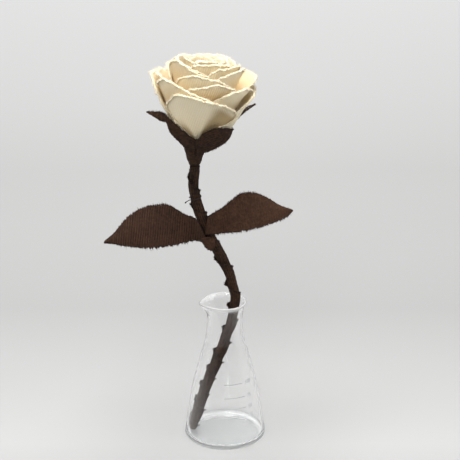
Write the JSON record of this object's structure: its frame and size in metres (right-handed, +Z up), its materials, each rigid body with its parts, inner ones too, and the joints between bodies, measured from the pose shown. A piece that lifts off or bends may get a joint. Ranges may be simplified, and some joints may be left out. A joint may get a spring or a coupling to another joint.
{
  "type": "fabric rose in a conical flask",
  "caption": "Handmade cream cloth rose with layered curled petals, brown sepals, two leaves and a strip-wound bent stem, standing in a small clear conical flask with a pour spout.",
  "frame": {"origin": "centre of the flask's flat underside, on the surface it stands on", "axes": "+Z up; +X to the right in front view; -Y is the front, the side with the printed graduations; the pour spout points to -X"},
  "size_m": [0.1466, 0.0764, 0.3139],
  "materials": {
    "flask_glass": "clear polished laboratory glass",
    "petal_cloth": "matt cream cotton twill, stiffened",
    "bud_cloth": "matt cream cotton, rolled",
    "leaf_cloth": "matt brown ribbed cotton, raw frayed edge",
    "sepal_cloth": "matt dark brown cotton, raw edge",
    "stem_strip": "matt dark brown cloth strip, wound, frayed edge",
    "stem_wire": "plain steel wire, hidden",
    "thread": "brown sewing thread"
  },
  "bodies": {
    "root": {"flask": "flask_glass", "stem_wrap": "stem_strip", "stem_wire": "stem_wire", "hip": "sepal_cloth", "bud_core": "bud_cloth", "bud_roll": "bud_cloth", "petal_a1": "petal_cloth", "petal_a2": "petal_cloth", "petal_a3": "petal_cloth", "petal_a4": "petal_cloth", "petal_b1": "petal_cloth", "petal_b2": "petal_cloth", "petal_b3": "petal_cloth", "petal_b4": "petal_cloth", "petal_c1": "petal_cloth", "petal_c2": "petal_cloth", "petal_c3": "petal_cloth", "petal_d1": "petal_cloth", "petal_d2": "petal_cloth", "petal_d3": "petal_cloth", "petal_d4": "petal_cloth", "petal_d5": "petal_cloth", "petal_e1": "petal_cloth", "petal_e2": "petal_cloth", "petal_e3": "petal_cloth", "petal_e4": "petal_cloth", "petal_e5": "petal_cloth", "petal_f1": "petal_cloth", "petal_f2": "petal_cloth", "petal_f3": "petal_cloth", "petal_f4": "petal_cloth", "sepal_front_left": "sepal_cloth", "sepal_front_right": "sepal_cloth", "sepal_right": "sepal_cloth", "sepal_rear": "sepal_cloth", "sepal_left_rear": "sepal_cloth", "leaf_left": "leaf_cloth", "leaf_right": "leaf_cloth", "tie_thread": "thread"}
  },
  "joints": []
}
